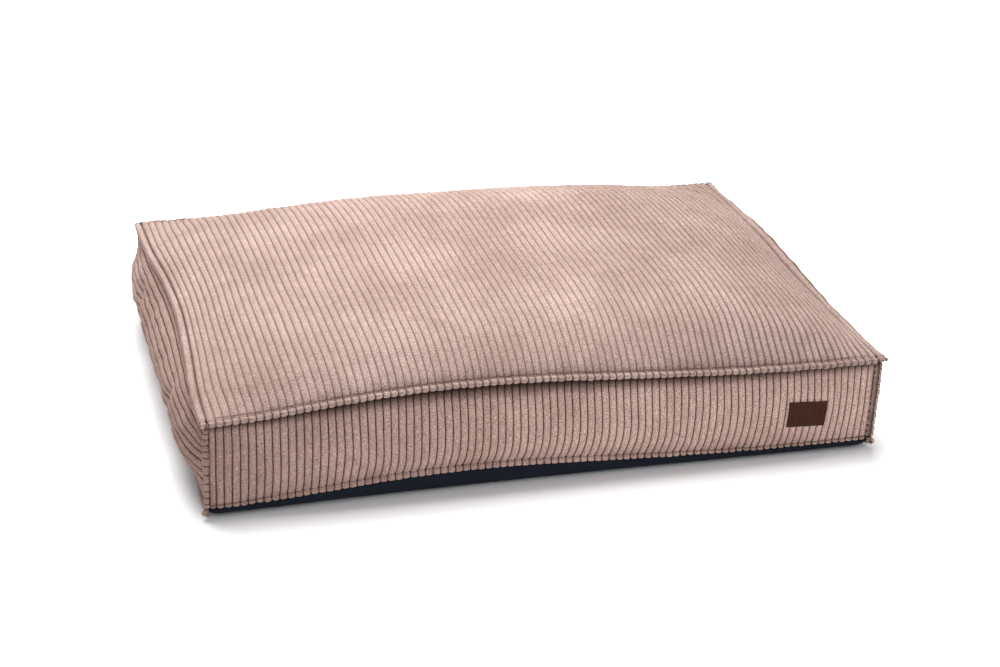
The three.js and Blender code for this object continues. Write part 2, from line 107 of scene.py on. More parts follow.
def pale_floor():
    bm = bmesh.new()
    bmesh.ops.create_grid(bm, x_segments=2, y_segments=2, size=floor_reach)
    floor = put_in_scene("floor", finished_mesh("floor", bm))
    paper, _, _ = plain_material("floor_paper", paper_white, 0.9)
    floor.data.materials.append(paper)


place_camera()
pale_floor()
soft_light("overhead_softbox", (-0.25, 0.8, 2.9), target=(0, 0, 0.1), size=2.7, watts=168)
soft_light("front_fill", (1.5, -2.4, 1.5), target=(0.2, 0, 0.1), size=1.6, watts=11)
scene.world = bpy.data.worlds.new("studio")
scene.world.use_nodes = True
sky = scene.world.node_tree.nodes["Background"]
sky.inputs["Color"].default_value = (*room_light, 1)
sky.inputs["Strength"].default_value = room_strength
scene.view_settings.view_transform = "Standard"


# ---- Top panel --------------------------------------------------------------------------------
# One piece of jumbo corduroy with its cords running front to back. The filling crowns it, its
# seams draw in and lift between the corners, and its border is folded into a sewn flange.

_, top_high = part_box("top_panel")
flange = 0.010
right_flange = 0.012  # the right end's flange stands out a little further
seam_x = top_high.x - flange
seam_y = top_high.y - flange
top_seam_z = 0.150
base_seam_z = 0.0187
cord_room = 0.003  # kept free over the crown for the cords
crown_rise = top_high.z - top_seam_z - cord_room
draw_in = 0.006  # how far a long seam draws in between its corners
end_draw_in = 0.014  # the same on a short seam
flange_tilts = {"left": math.radians(12), "right": math.radians(38)}
front_lift = 0.0215
back_lift = 0.014
end_lift = 0.010
uneven_filling = 0.0022
ragged_edge = 0.048  # share by which the flanges vary in width

cord_pitch = 2 * seam_x / 90
cord_depth = 0.0031
cord_unevenness = 0.14
cord_drift = 0.0007
cloth_ripple = 0.00025
stitch_sink = 0.0016  # how far a row of stitches sinks into the cloth
stitch_spread = 0.0021  # width over which the cloth rises again beside it
crease_inset = 0.0012  # from a seam in to the crease beside it
crease_width = 0.0017
cord_steps = (0, 0.055, 0.15, 0.31, 0.5, 0.69, 0.85, 0.945)  # shares of a pitch, groove to groove
fold_radius = 0.0026
edge_bend = 0.004  # width in which the cords bend over a sewn edge
end_stitch = 0.0044  # from the top's front and back seams out to their stitches
side_stitch = 0.0008  # the same at the other seams
seam_steps = (0, 0.0006, 0.0015, 0.003, 0.0055, 0.009, 0.0135, 0.019, 0.026, 0.034)
flange_steps = (
    0.0012, 0.0026, 0.0042, 0.0060, 0.0074, 0.0087, 0.0101, 0.0115, 0.0128, 0.0142, 0.0156, 0.0168,
)

pressure_frames = 20
top_cells = (96, 68)  # of the coarse copy that is simulated
top_slack = 0.02  # share by which its cloth may grow
top_press = 0.003  # the furthest that a point of it moves


def arch(t):
    return np.cos(np.clip(t, -1, 1) * math.pi / 2) ** 2


def lopsided_arch(t):
    """An arch that is 0 at -1 and 1, and highest left of the middle."""
    share = np.clip((t + 1) / 2, 0, 1)
    rise, fall = 1.9, 3.4
    peak = rise / (rise + fall)
    top = peak**rise * (1 - peak) ** fall
    return share**rise * (1 - share) ** fall / top


def front_arch(t):
    return front_lift * lopsided_arch(t)


def back_arch(t):
    return back_lift * arch(t)


def end_arch(t):
    return end_lift * arch(t)


def left_pull(t):
    return end_draw_in * arch(t)


def right_pull(t):
    return end_draw_in * lopsided_arch(t)


def crown(tx, ty):
    """Share of the crown's rise: steep at the front seam, gentle at the others."""
    ends = 1 - np.abs(tx) ** 3.4
    front = np.clip(1 - ty**4, 0, None) ** 0.62
    back = 1 - np.abs(ty) ** 3.6
    return ends * np.where(ty < 0, front, back)


def cord_height(distance):
    """Height of the pile, 0 in a groove and 1 on top of a cord, at a distance across the cords."""
    across = np.abs(2 * ((distance / cord_pitch) % 1) - 1)
    return 1 - across**3


def cord_stations(limit):
    """Distances across the cords out to `limit` both ways, with a groove in the middle."""
    cords = math.ceil(limit / cord_pitch)
    every = [(k + step) * cord_pitch for k in range(-cords, cords) for step in cord_steps]
    return np.array([distance for distance in every if abs(distance) <= limit + 1e-6])


def run_stations(half, spacing):
    """Distances along the cords: close together at the seams, with the flanges past them."""
    inner = np.arange(seam_steps[-1] + spacing, half - spacing / 2, spacing)
    inside = half - np.concatenate([seam_steps, inner])
    outside = half + np.array(flange_steps)
    positive = np.concatenate([inside[::-1], outside])
    return np.concatenate([-positive[::-1], [0], positive])


def fold(past, width, radius=fold_radius):
    """How far out and how far under the cloth lies, `past` its seam, as it folds round an edge."""
    straight = width - radius
    angle = np.clip((past - straight) / radius, 0, math.pi)
    back = np.clip(past - straight - math.pi * radius, 0, None)
    out = np.clip(past, 0, straight) + radius * np.sin(angle) - back
    return out, radius * (1 - np.cos(angle))


def grid_normals(points):
    along, across = np.gradient(points, axis=0), np.gradient(points, axis=1)
    normals = np.cross(across, along)
    return normals / np.maximum(np.linalg.norm(normals, axis=2, keepdims=True), 1e-9)


def soft_noise(x, y, size, seed):
    """Soft bumps about `size` across, between about -1 and 1."""
    draw = np.random.default_rng(seed)
    total = np.zeros(np.broadcast(x, y).shape)
    for _ in range(9):
        angle, phase = draw.uniform(0, 2 * math.pi, 2)
        stretch = draw.uniform(0.6, 1.6)
        wave = x * math.cos(angle) + y * math.sin(angle)
        total = total + np.sin(2 * math.pi * stretch * wave / size + phase)
    return total / 4


def places_of(mesh):
    places = np.empty(len(mesh.vertices) * 3)
    mesh.vertices.foreach_get("co", places)
    return places.reshape(-1, 3)


def cloth_grid(name, points):
    """A sheet of cloth with a vertex for each of the points, which are rows of columns."""
    rows, columns = points.shape[:2]
    bm = bmesh.new()
    bmesh.ops.create_grid(bm, x_segments=columns - 1, y_segments=rows - 1, size=1)
    mesh = finished_mesh(name, bm)
    flat = (places_of(mesh) + 1) / 2
    column = np.rint(flat[:, 0] * (columns - 1)).astype(int)
    row = np.rint(flat[:, 1] * (rows - 1)).astype(int)
    mesh.vertices.foreach_set("co", points[row, column].ravel())
    mesh.polygons.foreach_set("use_smooth", [True] * len(mesh.polygons))
    mesh.update()
    return put_in_scene(name, mesh), row, column


def give_thickness(piece, thickness):
    """A wall of this thickness behind a sheet, whose faces look outwards."""
    wall = piece.modifiers.new("thickness", "SOLIDIFY")
    wall.thickness = thickness
    wall.offset = -1


def sewn_cloth(name, points, cord, crease, thickness=0.0011):
    """Cloth with its thickness on the inside, and its pile's height and its painted shade as
    attributes.
    """
    piece, row, column = cloth_grid(name, points)
    for label, value in (("cord", cord), ("crease", crease)):
        layer = piece.data.attributes.new(label, "FLOAT", "POINT")
        spread = value * np.ones(points.shape[:2])
        layer.data.foreach_set("value", spread[row, column].astype(np.float32))
    give_thickness(piece, thickness)
    return piece


def pinch(past):
    """1 on a row of stitches, fading to 0 a few millimetres either side."""
    return np.exp(-((past / stitch_spread) ** 2))


def evened(shift):
    """Blends each point of a grid a little with its neighbours; the border stays."""
    shift[1:-1] = (shift[:-2] + 2 * shift[1:-1] + shift[2:]) / 4
    shift[:, 1:-1] = (shift[:, :-2] + 2 * shift[:, 1:-1] + shift[:, 2:]) / 4
    return shift


def spread_over(values, old_rows, old_columns, rows, columns):
    """Carries values on a coarse grid over to a finer one."""
    tall = np.array([np.interp(rows, old_rows, line) for line in values.T])
    return np.array([np.interp(columns, old_columns, line) for line in tall.T])


def pressed_out(form_at, half, columns, rows, cells, slack, most):
    """How far a panel's points move, up to `most`, when a coarse copy of it is simulated as slack
    cloth that is held at its seams, with the filling's pressure behind it."""
    across = np.linspace(-half[0], half[0], cells[0] + 1)
    along = np.linspace(-half[1], half[1], cells[1] + 1)
    start = form_at(across, along)
    sheet, row, column = cloth_grid("slack_sheet", start)
    border = (row == 0) | (row == cells[1]) | (column == 0) | (column == cells[0])
    held = sheet.vertex_groups.new(name="seams")
    held.add(np.flatnonzero(border).tolist(), 1.0, "REPLACE")
    cloth = sheet.modifiers.new("slack_cloth", "CLOTH")
    cloth.settings.vertex_group_mass = "seams"
    cloth.settings.use_pressure = True
    cloth.settings.uniform_pressure_force = 4.0
    cloth.settings.shrink_min = -slack
    cloth.settings.effector_weights.gravity = 0.0
    cloth.point_cache.frame_end = pressure_frames
    for frame_number in range(1, pressure_frames + 1):
        scene.frame_set(frame_number)
    bpy.context.view_layer.objects.active = sheet
    bpy.ops.object.modifier_apply(modifier="slack_cloth")
    shift = np.zeros_like(start)
    shift[row, column] = places_of(sheet.data) - start[row, column]
    bpy.data.objects.remove(sheet)
    scene.frame_set(1)
    length = np.linalg.norm(shift, axis=2, keepdims=True)
    shift = evened(shift * np.minimum(1, most / np.maximum(length, 1e-9)))
    parts = [spread_over(shift[..., k], along, across, rows, columns) for k in range(3)]
    return np.stack(parts, axis=2)


def painted_seam_shade(past, depth):
    """Painted shade in the crease just inside a seam."""
    return depth * np.exp(-(((past + crease_inset) / crease_width) ** 2))


def painted_gap_shade(past, across):
    """Painted shade between the ends of the cords on a sewn edge."""
    return 0.85 * np.clip(past / edge_bend, 0, 1) * (1 - cord_height(across)) ** 1.6


def raise_cords(form, across, stitched, seed, relief=1.0):
    """Raises the cords on a panel's form; returns its points and the height of the pile, which is
    lowered along stitched rows to paint shade there.
    """
    height = cord_height(across) * np.ones(form.shape[:2])
    cord_number = np.floor(across / cord_pitch + 1e-6) * np.ones(form.shape[:2])
    along = form[..., 0] + form[..., 1] + 2 * form[..., 2]
    uneven = 1 + cord_unevenness * soft_noise(cord_number * 0.37, along * 4, 1.0, seed)
    lift = cord_depth * relief * uneven * height * (1 - 0.72 * stitched) - stitch_sink * stitched
    ripple = soft_noise(form[..., 0] + form[..., 2], form[..., 1], 0.03, seed + 1)
    lift = lift + cloth_ripple * ripple
    return form + grid_normals(form) * lift[..., None], height * (1 - 0.45 * stitched)


def wander(across, along, distance, half, seed):
    """Sideways drift of the cords, which are never quite straight; none at a seam."""
    free = np.clip((half - np.abs(distance)) / 0.03, 0, 1)
    return cord_drift * soft_noise(across * 1.6, along, 0.24, seed) * free


def add_node(tree, kind, **settings):
    node = tree.nodes.new(kind)
    for key, value in settings.items():
        setattr(node, key, value)
    return node


def ramp(tree, source, low, high, to_low=0.0, to_high=1.0, smooth=False):
    """A Map Range node on a node's output."""
    node = add_node(tree, "ShaderNodeMapRange")
    if smooth:
        node.interpolation_type = "SMOOTHSTEP"
    node.inputs["From Min"].default_value = low
    node.inputs["From Max"].default_value = high
    node.inputs["To Min"].default_value = to_low
    node.inputs["To Max"].default_value = to_high
    tree.links.new(source, node.inputs["Value"])
    return node.outputs["Result"]


def clouds(tree, place, scale, detail, roughness):
    node = add_node(tree, "ShaderNodeTexNoise")
    node.inputs["Scale"].default_value = scale
    node.inputs["Detail"].default_value = detail
    node.inputs["Roughness"].default_value = roughness
    tree.links.new(place, node.inputs["Vector"])
    return node.outputs["Fac"]


def times(tree, first, second):
    node = add_node(tree, "ShaderNodeMath", operation="MULTIPLY")
    tree.links.new(first, node.inputs[0])
    tree.links.new(second, node.inputs[1])
    return node.outputs["Value"]


def shaded(tree, colour, share):
    """A colour, or a colour socket, times a share."""
    node = add_node(tree, "ShaderNodeVectorMath", operation="SCALE")
    if isinstance(colour, tuple):
        node.inputs[0].default_value = colour
    else:
        tree.links.new(colour, node.inputs[0])
    tree.links.new(share, node.inputs["Scale"])
    return node.outputs["Vector"]


def blend_colours(tree, share, low, high):
    node = add_node(tree, "ShaderNodeMix", data_type="RGBA")
    colours = [socket for socket in node.inputs if socket.type == "RGBA"]
    tree.links.new(share, node.inputs["Factor"])
    tree.links.new(low, colours[0])
    tree.links.new(high, colours[1])
    return [socket for socket in node.outputs if socket.type == "RGBA"][0]


def shader_group(name, inputs, outputs):
    group = bpy.data.node_groups.new(name, "ShaderNodeTree")
    for label, kind in inputs.items():
        group.interface.new_socket(label, in_out="INPUT", socket_type=kind)
    for label, kind in outputs.items():
        group.interface.new_socket(label, in_out="OUTPUT", socket_type=kind)
    return group, add_node(group, "NodeGroupInput"), add_node(group, "NodeGroupOutput")


def corduroy_pile():
    """Shader group: pile with painted shade in its grooves and where its shade input is set, patchy
    where it is brushed, and speckled.
    """
    group, given, result = shader_group(
        "corduroy_pile",
        {
            "Cord": "NodeSocketFloat",
            "Painted Shade": "NodeSocketFloat",
            "Light": "NodeSocketColor",
            "Dark": "NodeSocketColor",
            "Groove Shade": "NodeSocketColor",
        },
        {"Colour": "NodeSocketColor", "Grain": "NodeSocketFloat"},
    )
    place = add_node(group, "ShaderNodeTexCoord").outputs["Object"]
    brushed = ramp(group, clouds(group, place, 6.0, 4.0, 0.62), 0.34, 0.66)
    tufts = clouds(group, place, 560.0, 2.0, 0.7)
    fleck = ramp(group, tufts, 0.32, 0.68, 0.50, 1.50)
    mark = ramp(group, clouds(group, place, 45.0, 5.0, 0.65), 0.32, 0.68, 0.93, 1.07)
    streak = ramp(group, clouds(group, place, 15.0, 7.0, 0.72), 0.58, 0.74, 1.0, 1.15)
    body = blend_colours(group, brushed, given.outputs["Dark"], given.outputs["Light"])
    depth = ramp(group, given.outputs["Cord"], 0.0, 0.62, smooth=True)
    # The shade input below is painted shade: it mixes in the groove colour and darkens the pile.
    shadow = ramp(group, given.outputs["Painted Shade"], 0.0, 1.0, 1.0, 0.30)
    grooved = blend_colours(group, depth, given.outputs["Groove Shade"], body)
    grooved = blend_colours(group, given.outputs["Painted Shade"], grooved, given.outputs["Groove Shade"])
    share = times(group, times(group, fleck, streak), times(group, mark, shadow))
    group.links.new(shaded(group, grooved, share), result.inputs["Colour"])
    group.links.new(tufts, result.inputs["Grain"])
    return group


def add_bump(tree, surface, height, strength, distance):
    bump = add_node(tree, "ShaderNodeBump")
    bump.inputs["Strength"].default_value = strength
    bump.inputs["Distance"].default_value = distance
    tree.links.new(height, bump.inputs["Height"])
    tree.links.new(bump.outputs["Normal"], surface.inputs["Normal"])


def corduroy_cloth(name, light, dark, groove_shade, sheen):
    material, tree, surface = plain_material(name, light, 0.92)
    surface.inputs["Sheen Weight"].default_value = sheen
    surface.inputs["Sheen Roughness"].default_value = 0.45
    surface.inputs["Sheen Tint"].default_value = (1.0, 0.82, 0.75, 1)
    surface.inputs["Specular IOR Level"].default_value = 0.03
    # Painted shade: the groove colour darkens the cloth where its pile is low, and the crease
    # attribute darkens it further.
    height = add_node(tree, "ShaderNodeAttribute", attribute_name="cord")
    look = add_node(tree, "ShaderNodeGroup", node_tree=pile)
    look.inputs["Light"].default_value = (*light, 1)
    look.inputs["Dark"].default_value = (*dark, 1)
    look.inputs["Groove Shade"].default_value = (*groove_shade, 1)
    tree.links.new(height.outputs["Fac"], look.inputs["Cord"])
    painted_shade_input = add_node(tree, "ShaderNodeAttribute", attribute_name="crease")
    tree.links.new(painted_shade_input.outputs["Fac"], look.inputs["Painted Shade"])
    tree.links.new(look.outputs["Colour"], surface.inputs["Base Color"])
    add_bump(tree, surface, look.outputs["Grain"], 1.0, 0.0020)
    return material


pile = corduroy_pile()
# The groove colour of this corduroy is painted shade for its grooves.
top_pink = corduroy_cloth(
    "top_corduroy_pink", (0.475, 0.347, 0.306), (0.362, 0.253, 0.218), (0.212, 0.128, 0.104), 0.13
)


def finish_panel(panel, material, node):
    panel.data.materials.append(material)
    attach(panel, "root")
    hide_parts(node)


def top_form(columns, rows):
    """The top's smooth form; each row spreads its cords evenly over the crown's curve."""
    tx = np.clip(columns / seam_x, -1, 1)
    ty = np.clip(rows / seam_y, -1, 1)[:, None]
    fine = np.linspace(-1, 1, 601)
    height = crown_rise * crown(fine[None, :], ty)
    stretch = np.hypot(np.diff(fine * seam_x)[None, :], np.diff(height, axis=1))
    run = np.concatenate([np.zeros((len(rows), 1)), np.cumsum(stretch, axis=1)], axis=1)
    run = run / run[:, -1:] * 2 - 1
    tx = np.stack([np.interp(tx, run[k], fine) for k in range(len(rows))])
    long_seam = np.where(ty < 0, front_arch(tx), back_arch(tx))
    x = tx * seam_x - np.where(tx < 0, left_pull(ty), right_pull(ty)) * tx**9
    y = ty * seam_y - draw_in * arch(tx) * ty**3
    z = top_seam_z + long_seam * ty**4 + end_arch(ty) * tx**4 + crown_rise * crown(tx, ty)
    z = z + uneven_filling * soft_noise(x, y, 0.30, 5) * (1 - tx**4) * (1 - ty**4)
    width = np.where(columns < 0, flange, right_flange)
    out_x, under_x = fold(np.clip(np.abs(columns) - seam_x, 0, None), width)
    out_y, under_y = fold(np.clip(np.abs(rows) - seam_y, 0, None)[:, None], flange)
    ragged = ragged_edge * soft_noise(x, y, 0.055, 7)
    x = x + np.sign(columns) * out_x * (1 + ragged)
    y = y + np.sign(rows)[:, None] * out_y * (1 + ragged)
    tilt = np.where(columns < 0, math.tan(flange_tilts["left"]), math.tan(flange_tilts["right"]))
    z = z + out_x * tilt * arch(ty) + (out_x + out_y) * 1.5 * ragged - np.maximum(under_x, under_y)
    return np.stack([x, y, z], axis=2)


def painted_side_shade(points, cord):
    """Painted shade on the pile towards the right, front and left, and more painted shade in its
    grooves towards the right.
    """
    right_end = np.clip((points[..., 0] - 0.10) / 0.32, 0, 1)
    front_end = np.clip((-points[..., 1] - 0.22) / 0.10, 0, 1)
    left_end = np.clip((-points[..., 0] - 0.15) / 0.30, 0, 1)
    side_shade = 0.09 * right_end + 0.05 * front_end + 0.05 * left_end
    return side_shade + 0.50 * right_end * (1 - cord)


def make_top_panel():
    columns = cord_stations(seam_x + flange_steps[-1])
    rows = run_stations(seam_y, 0.0088)
    form = top_form(columns, rows)
    half = (seam_x, seam_y)
    form = form + pressed_out(top_form, half, columns, rows, top_cells, top_slack, top_press)
    past_x = np.abs(columns)[None, :] - seam_x
    past_y = np.abs(rows)[:, None] - seam_y
    stitched = np.maximum(pinch(past_x - side_stitch), 0.45 * pinch(past_y - end_stitch))
    relief = 1 - 0.35 * np.clip(past_y / edge_bend, 0, 1)
    points, cord = raise_cords(form, columns[None, :], stitched, 11, relief)
    points[..., 0] += wander(points[..., 0], points[..., 1], rows[:, None], seam_y, 13)
    # Painted shade on the top: in the crease beside its side seams, along its front and back
    # stitches, between the cords' ends at its front and back, and towards its right, front and
    # left.
    beside = painted_seam_shade(past_x, np.where(columns < 0, 0.08, 0.65)[None, :])
    painted_shade = np.maximum(beside, 0.30 * pinch(past_y - end_stitch))
    painted_shade = np.maximum(painted_shade, painted_gap_shade(past_y, columns[None, :]))
    painted_shade = np.maximum(painted_shade, painted_side_shade(points, cord))
    panel = sewn_cloth("top_corduroy", points, cord, painted_shade)
    finish_panel(panel, top_pink, "top_panel")


make_top_panel()


# ---- Side walls -------------------------------------------------------------------------------
# Boxing strips of the same corduroy. The front strip's cords stand upright; those of the left and
# right strips lie level, and wrap round the corner flanges, where their ends show as beads.

# Painted light and shade: the same corduroy as the top's, with brighter colours and a near-black
# groove colour of its own for the light on the walls.
wall_pink = corduroy_cloth(
    "wall_corduroy_pink", (0.600, 0.417, 0.358), (0.452, 0.300, 0.252), (0.045, 0.015, 0.009), 0.03
)
wall_bulges = {"front": 0.017, "back": 0.017, "left": 0.027, "right": 0.020}
lip_draw = 0.0042  # how far a wall is drawn in just below the top flange
belly_sag = 0.16  # how far a wall's fullest line lies below its middle, in half heights
base_droop = math.radians(66)
middle_z = (base_seam_z + top_seam_z + 0.020) / 2
corner_strip = (0.0012, 0.0030, 0.0048, 0.0064, 0.0076)
corner_wrap = (
    0.0012, 0.0030, 0.0048, 0.0066, 0.0080, 0.0094, 0.0108, 0.0122, 0.0136, 0.0150, 0.0165,
)
corner_fold = 0.0030
diagonal = math.sqrt(0.5)
front_right_lean = math.radians(17)
hem_hold = 0.55  # share of the flattening that the front's base stitches give
front_rows = 24
drift_depth = 0.06
end_cords = 13
end_cells = (68, 16)
end_slack = 0.03
end_press = 0.004
end_shade = {"left": 0.26, "right": 0.10}
crease_depths = {"left": 0.0015, "right": 0.0009}


def wall_place(side, run, out):
    """Where a wall's point lies: `run` along the wall to the right, seen from outside, and `out`
    from the cushion's middle."""
    if side == "front":
        return run, -out
    if side == "back":
        return -run, out
    return (-out, -run) if side == "left" else (out, run)


def wall_fullness(w):
    """Share of a wall's bulge at a height: 0 at its seams, 1 a little below its middle."""
    return np.cos(math.pi / 2 * np.clip(w + belly_sag * (1 - w**2), -1, 1)) ** 0.9


def lip(w):
    """How far a wall is drawn in below the top flange."""
    return lip_draw * np.clip(w, 0, 1) ** 8


def corner_lean(side, end):
    """How far a corner flange reaches along its wall and out from it, for each metre of width."""
    if side == "front":
        along = np.where(end > 0, math.cos(front_right_lean), diagonal)
        return along, np.sqrt(1 - along**2)
    if side == "right":
        along = np.where(end < 0, math.sin(front_right_lean), diagonal)
        return along, np.sqrt(1 - along**2)
    return diagonal, diagonal


def wall_form(side, along, up, wrapped):
    """A wall's smooth form. `up` runs from -1 at the base seam to 1 at the top seam, and on below
    -1 in metres for the hanging flange. At its ends the cloth turns into the corner flanges."""
    half, out = (seam_x, seam_y) if side in ("front", "back") else (seam_y, seam_x)
    lift = {"front": front_arch, "back": back_arch}.get(side, end_arch)
    t = np.clip(along / half, -1, 1)[None, :]
    w = np.clip(up, -1, 1)[:, None]
    seam_z = np.where(w < 0, base_seam_z, top_seam_z) + lift(t)
    pull = {"left": left_pull, "right": right_pull}.get(side)
    seam_out = out - (pull(t) if pull else draw_in * arch(t))
    middle_out = out + wall_bulges[side] * (1 - np.abs(t) ** 6)
    reach = seam_out + (middle_out - seam_out) * wall_fullness(w) - lip(w)
    z = middle_z + (seam_z - middle_z) * np.abs(w)
    end = np.sign(along)[None, :]
    past = np.clip(np.abs(along) - half, 0, None)[None, :]
    if wrapped:
        out_by, under_by = fold(past, flange, corner_fold)
    else:
        out_by, under_by = past, 0 * past
    lean_along, lean_out = corner_lean(side, end)
    run = t * half + end * (lean_along * out_by + lean_out * under_by) + 0 * z
    reach = reach + lean_out * out_by - lean_along * under_by
    hang, under = fold(np.clip(-up - 1, 0, None)[:, None], flange)
    reach = reach + hang * math.cos(base_droop) - under * math.sin(base_droop)
    z = z - hang * math.sin(base_droop) - under * math.cos(base_droop)
    x, y = wall_place(side, run, reach)
    return np.stack([x, y, z + 0 * run], axis=2)


def upright_rows(steps):
    """Rows of a wall with upright cords, from the fold of its base flange to its top seam."""
    near = np.array([0, 0.012, 0.03, 0.06, 0.10])
    inside = np.concatenate([-1 + near, np.linspace(-0.85, 0.85, steps), 1 - near[::-1]])
    return np.concatenate([-1 - np.array(flange_steps)[::-1], inside])


def past_base(up):
    """How far below the base seam a row of a wall lies, in metres."""
    return np.where(up < -1, -up - 1, (up + 1) * (base_seam_z - top_seam_z) / 2)[:, None]


def base_pinch(up):
    """The row of stitches that holds the base flange."""
    return pinch(past_base(up) - side_stitch)


def hem_relief(past):
    """Share of the cords' relief that is left where they are folded over an edge."""
    return 1 - 0.5 * np.clip(past / edge_bend, 0, 1)


def painted_lip_shadow(up):
    """Painted shadow just below the top flange, where the wall turns in."""
    return 0.86 * np.clip((up[:, None] - 0.60) / 0.26, 0, 1) ** 1.4


def painted_wall_shade(up, across):
    """Painted shade under the top flange's lip, along the lower stitches and between the cords'
    ends.
    """
    lower = np.maximum(0.35 * base_pinch(up), 0.35 * painted_gap_shade(past_base(up), across))
    return np.maximum(painted_lip_shadow(up), lower)


def upright_columns():
    """Columns of a wall with upright cords, with the strips that turn into the corner flanges."""
    strip = seam_x + np.array(corner_strip)
    return np.concatenate([-strip[::-1], cord_stations(seam_x), strip])


def make_front_wall():
    along = upright_columns()
    up = upright_rows(front_rows)
    form = wall_form("front", along, up, False)
    stitched = hem_hold * base_pinch(up) * np.ones((1, len(along)))
    points, cord = raise_cords(form, along[None, :], stitched, 21, hem_relief(past_base(up)))
    inward = up[:, None] * drift_depth
    points[..., 0] += wander(points[..., 0], 2 * points[..., 2], inward, drift_depth, 23)
    past = np.abs(along)[None, :] - seam_x
    # Painted shade on the strips that turn into the corner flanges, deeper at the right end, and in
    # the crease beside them.
    corner_strip_shade = np.where(along < 0, 0.10, 0.30)[None, :] * (past > 0)
    corner = np.maximum(corner_strip_shade, painted_seam_shade(past, 0.65))
    # Painted shade towards the front wall's left end.
    left_end = np.clip((-along[None, :] - 0.05) / 0.35, 0, 1)
    painted_shade = np.maximum(painted_wall_shade(up, along[None, :]), corner)
    painted_shade = np.maximum(painted_shade, 0.12 * left_end)
    panel = sewn_cloth("front_corduroy", points, cord, painted_shade)
    finish_panel(panel, wall_pink, "front_panel")


def lying_rows(side, cords):
    """Rows of a wall with lying cords: `up`, and the distance across the cords from the base."""
    fine = np.linspace(-1, 1, 401)
    profile = wall_form(side, np.array([0.0]), fine, True)[:, 0]
    run = np.concatenate([[0], np.cumsum(np.linalg.norm(np.diff(profile, axis=0), axis=1))])
    pitch = run[-1] / cords
    inside = np.array([(k + step) * pitch for k in range(cords) for step in cord_steps] + [run[-1]])
    hanging = np.array([(k + step) * pitch for k in (-2, -1) for step in cord_steps])
    hanging = hanging[hanging > -flange_steps[-1]]
    up = np.concatenate([-1 + hanging, np.interp(inside, run, fine)])
    return up, np.concatenate([hanging, inside]) * cord_pitch / pitch


def crumple(side, form, up):
    """Slack creases of an end wall: deeper on the left, none at its seams."""
    free = np.clip(1 - up[:, None] ** 2, 0, 1)
    return crease_depths[side] * soft_noise(form[..., 1] * 2.2, form[..., 2] * 3.0, 0.13, 37) * free


def make_end_wall(side, seed):
    up, across = lying_rows(side, end_cords)
    inside = np.arange(0, seam_y - 0.012, 0.0095)
    near = seam_y - np.array([0.009, 0.005, 0.0025, 0.001, 0])
    positive = np.concatenate([inside, near, seam_y + np.array(corner_wrap)])
    along = np.concatenate([-positive[:0:-1], positive])

    def form_at(along, up):
        return wall_form(side, along, up, True)

    form = form_at(along, up)
    form = form + pressed_out(form_at, (seam_y, 1), along, up, end_cells, end_slack, end_press)
    corner_row = pinch(np.abs(along) - seam_y - side_stitch)[None, :]
    stitched = np.maximum(corner_row, base_pinch(up))
    form = form + grid_normals(form) * crumple(side, form, up)[..., None]
    past = np.abs(along)[None, :] - seam_y
    points, cord = raise_cords(form, across[:, None], stitched, seed, hem_relief(past))
    # Painted shade on an end wall: in the crease at its corner seams, between the cords' ends
    # there, under the top flange and over the whole wall.
    painted_shade = np.maximum(painted_seam_shade(past, 0.6), 0.4 * painted_gap_shade(past, across[:, None]))
    painted_shade = np.maximum(painted_shade, 0.6 * painted_lip_shadow(up))
    painted_shade = np.maximum(painted_shade, end_shade[side])
    panel = sewn_cloth(side + "_corduroy", points, cord, painted_shade)
    finish_panel(panel, wall_pink, side + "_panel")


make_front_wall()
make_end_wall("left", 31)
make_end_wall("right", 41)


# ---- Back strips ------------------------------------------------------------------------------
# The back wall is two narrower strips with upright cords. Their hems meet at the ends and stand
# open along the zip, which is sewn behind them.

_, zip_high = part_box("zip_tape_upper")
zip_half = zip_high.x
slot_half = 0.005
slot_close = 0.010  # length in which the slot closes past each end of the zip
hem_gap = 0.0002
strip_height = 0.0655
back_bulge = wall_bulges["back"]
back_flat = seam_y + back_bulge - 0.001  # how far out the wall's fullest part may reach at the zip
hem_steps = (0, 0.0012, 0.0028, 0.005, 0.008, 0.012)
hem_stitch = 0.0035
hem_edge = 0.0012


def make_back_strip(name, sign, node):
    along = upright_columns()
    hem = np.array(hem_steps) / strip_height
    up = np.concatenate([hem, np.linspace(0.24, 0.88, 11), [0.92, 0.95, 0.975, 0.99, 1]])
    if sign < 0:
        up = np.concatenate([-1 - np.array(flange_steps)[::-1], -up[::-1]])
    form = wall_form("back", along, up, False)
    from_hem = np.abs(up)[:, None]
    ends = np.clip((np.abs(along) - zip_half) / slot_close, 0, 1)
    gap = slot_half * (1 - ends) + hem_gap
    form[..., 2] += np.where(from_hem <= 1, sign * gap * np.clip(1 - from_hem * 3.0, 0, 1), 0)
    closeness = np.clip(1 - from_hem * 5, 0, 1)
    reach = form[..., 1]
    form[..., 1] = reach * (1 - closeness) + np.minimum(reach, back_flat) * closeness
    past_hem = np.abs(up) * strip_height
    stitched = pinch(past_hem - hem_stitch)[:, None] * 0.6 * np.ones((1, len(along)))
    if sign < 0:
        stitched = np.maximum(stitched, base_pinch(up))
    edge = np.clip(1 - past_hem / hem_edge, 0, 1)[:, None]
    stitched = np.clip(stitched + edge, 0, 1)
    points, cord = raise_cords(form, along[None, :], stitched, 51, hem_relief(past_base(up)))
    panel = sewn_cloth(name, points, cord, painted_wall_shade(up, along[None, :]))
    finish_panel(panel, wall_pink, node)


make_back_strip("back_corduroy_upper", 1, "back_panel_upper")
make_back_strip("back_corduroy_lower", -1, "back_panel_lower")


# ---- Base cloth -------------------------------------------------------------------------------
# Plain dark cloth under the cushion. It lies flat on the floor in the middle, curves up to the
# lower seams, and is tucked behind the hanging flanges of the walls.

